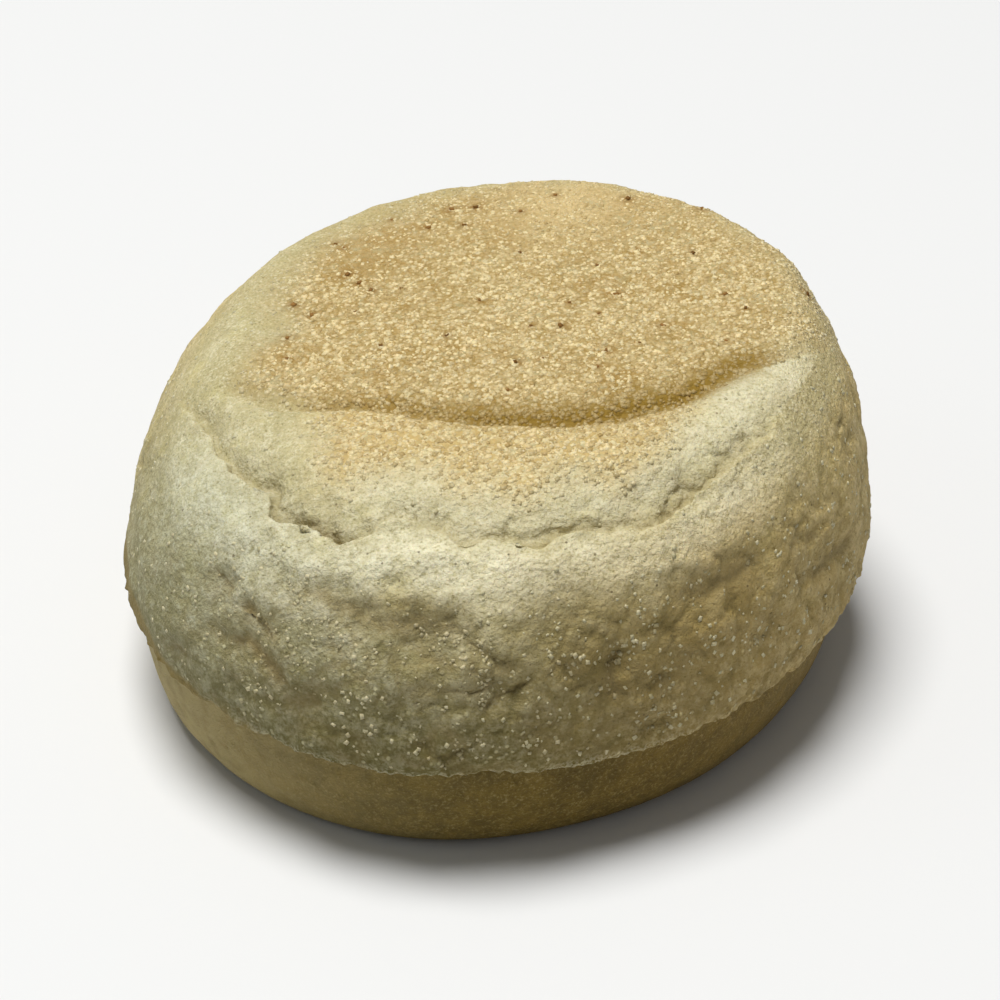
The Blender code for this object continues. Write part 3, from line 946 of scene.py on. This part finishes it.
def semolina():
    finish = Finish("semolina")
    tint = finish.kept("tint")
    toasted = finish.kept("toasted")
    pale = finish.mix(tint, GRAIN_PALE, GRAIN_PALE_LIGHT)
    gold = finish.mix(tint, GRAIN_GOLD, GRAIN_GOLD_LIGHT)
    colour = finish.mix(finish.kept("shaded") * 0.75, finish.mix(toasted, pale, gold), GRAIN_SHADED)
    return finish.shade(
        colour, 0.5, finish.noise(0.2 * MM) * 0.01, Subsurface_Weight=0.3, Subsurface_Radius=(1.0, 0.8, 0.5),
        Subsurface_Scale=0.2 * MM, Specular_IOR_Level=0.4
    )


def burnt():
    finish = Finish("burnt_specks")
    colour = finish.mix(finish.kept("tint"), BURNT, BURNT_LIGHT)
    return finish.shade(colour, 0.85, finish.noise(0.2 * MM) * 0.02, Specular_IOR_Level=0.2)


def pale_floor():
    finish = Finish("pale_floor")
    tone = finish.mix(finish.noise(300 * MM, 2) * 0.1, FLOOR_WHITE, FLOOR_WHITE_LIGHT)
    return finish.shade(tone, 0.6, finish.noise(3 * MM) * 0.01, Specular_IOR_Level=0.2)


# Making the muffin.

chance = np.random.default_rng(SEED)

top = fine_half("top_half", "top_half_crust", -1)
top_cut = cut_of("top_half", -1)
shape_top_half(top, top_cut, chance)
top.data.materials.append(floury_crust())

bottom = fine_half("bottom_half", "bottom_half_crust", 1)
bottom_cut = cut_of("bottom_half", 1)
shape_bottom_half(bottom, bottom_cut)
bottom.data.materials.append(tan_crust())

top_places = corner_places(top)
cluster = ease(0, 0.6, wander(top_places, 4 * MM, 60) + 0.6 * wander(top_places, 1.4 * MM, 61))
on_top = np.maximum(values_of(top, "browning"), values_of(top, "golden"))
worn = values_of(top, "worn")
side_height = above_cut(top_places, top_cut)
on_side = ease(1 * MM, 4 * MM, side_height) * (1 - ease(34 * MM, 36 * MM, top_places[:, 2]))
to_left = hump(leftward_of(top_places) + 0.3, 0.75)
density = 1.7 * ease(0.1, 0.9, on_top) * (1 - 0.6 * worn) + 0.05 * values_of(top, "halo")
on_side_density = (0.09 + 0.45 * cluster) * on_side * (1 - 0.8 * to_left)
density += on_side_density * (0.25 + 0.75 * in_front(top_places)) + 0.02
density *= (side_height > 0.8 * MM) * (1 - 0.9 * values_of(top, "tan_band"))
fullness = 0.76 + 0.19 * on_top - 0.28 * worn
fullness -= 0.25 * on_top * ease(33 * MM, 38 * MM, radius_of(top_places))
spots, ups, under = strewn(top, density, GRAIN_COUNT, chance)
sizes = GRAIN_SIZE[0] + (GRAIN_SIZE[1] - GRAIN_SIZE[0]) * chance.random(GRAIN_COUNT) ** 1.6
sizes = sizes * fullness[under].mean(1)
grains = grains_at("semolina_grains", spots, ups, sizes, chance, sunk=0.74, flatness=0.85)
shaded = np.maximum(values_of(top, "step_band"), 0.7 * values_of(top, "fold")) + 0.2 * values_of(top, "bare_and_painted_shade")
for name, values in (("toasted", on_top), ("shaded", shaded)):
    under_grain = np.clip(values, 0, 1)[under].mean(1)
    store(grains, name, np.repeat(under_grain, len(grains.data.vertices) // GRAIN_COUNT))
grains.data.materials.append(semolina())

speck_density = values_of(top, "browning") + 0.15 * values_of(top, "golden") + 0.01 * on_side
spots, ups, _ = strewn(top, speck_density, STREWN_SPECKS, chance)
surface = surface_of(top)
arc_turns = np.linspace(*ARC_TURN, ARC_SPECKS) + chance.normal(0, ARC_LOOSENESS, ARC_SPECKS)
in_arc = around_browned(arc_turns, ARC_REACH, chance)
within = around_browned(chance.uniform(0, 360, INNER_SPECKS), INNER_REACH, chance)
for x, y in np.vstack([in_arc, within]):
    place, up, _, _ = surface.ray_cast(Vector((x, y, ABOVE_ALL)), Vector((0, 0, -1)))
    spots = np.vstack([spots, place])
    ups = np.vstack([ups, up])
sizes = chance.uniform(*SPECK_SIZE, len(spots))
specks = grains_at("burnt_specks", spots, ups, sizes, chance, sunk=0.5, flatness=0.75)
scorched = np.zeros(len(top_places))
for spot, size in zip(spots, sizes):
    scorched = np.maximum(scorched, hump(np.linalg.norm(top_places - spot, axis=1), 2.8 * size))
store(top, "scorched", scorched)
specks.data.materials.append(burnt())

for piece in (top, bottom, grains, specks):
    only(piece)
    bpy.ops.object.shade_smooth()
    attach(piece, "root")
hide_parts("top_half")
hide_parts("bottom_half")


# Floor, lights and camera.


def area_light(name, place, aim, size, power, colour=(1, 1, 1)):
    data = bpy.data.lights.new(name, "AREA")
    data.shape = "DISK"
    data.size = size
    data.energy = power
    data.color = colour
    light = bpy.data.objects.new(name, data)
    light.location = place
    light.rotation_euler = (Vector(aim) - Vector(place)).to_track_quat("-Z", "Y").to_euler()
    bpy.context.scene.collection.objects.link(light)


bpy.ops.object.select_all(action="DESELECT")
bpy.ops.mesh.primitive_plane_add(size=4)
floor = bpy.context.active_object
floor.name = "floor"
floor.data.materials.append(pale_floor())

LIGHT_AIM = (0, 0, 0.02)
SKYLIGHT = (0.86, 0.97, 1)
area_light("key_light", (-0.24, 0.06, 1.86), LIGHT_AIM, size=0.9, power=37.8)
area_light("left_light", (-1.5, -0.25, 1), LIGHT_AIM, size=1, power=1.45, colour=SKYLIGHT)

DAYLIGHT = (0.98, 0.99, 1, 1)
DAYLIGHT_STRENGTH = 0.18
world = bpy.data.worlds.new("soft_daylight")
world.use_nodes = True
world.node_tree.nodes["Background"].inputs["Color"].default_value = DAYLIGHT
world.node_tree.nodes["Background"].inputs["Strength"].default_value = DAYLIGHT_STRENGTH
bpy.context.scene.world = world
bpy.context.scene.view_settings.view_transform = "Standard"

CAMERA_DISTANCE = 0.36
CAMERA_ELEVATION = math.radians(35.2)
CAMERA_LENS = 108  # in mm of a film 36 mm wide
AIM = Vector((0, 0, 0.0195))
camera_data = bpy.data.cameras.new("camera")
camera_data.lens = CAMERA_LENS
camera_data.sensor_width = 36
camera = bpy.data.objects.new("camera", camera_data)
bpy.context.scene.collection.objects.link(camera)
camera.location = AIM + CAMERA_DISTANCE * Vector((0, -math.cos(CAMERA_ELEVATION), math.sin(CAMERA_ELEVATION)))
camera.rotation_euler = (AIM - camera.location).to_track_quat("-Z", "Y").to_euler()
bpy.context.scene.camera = camera
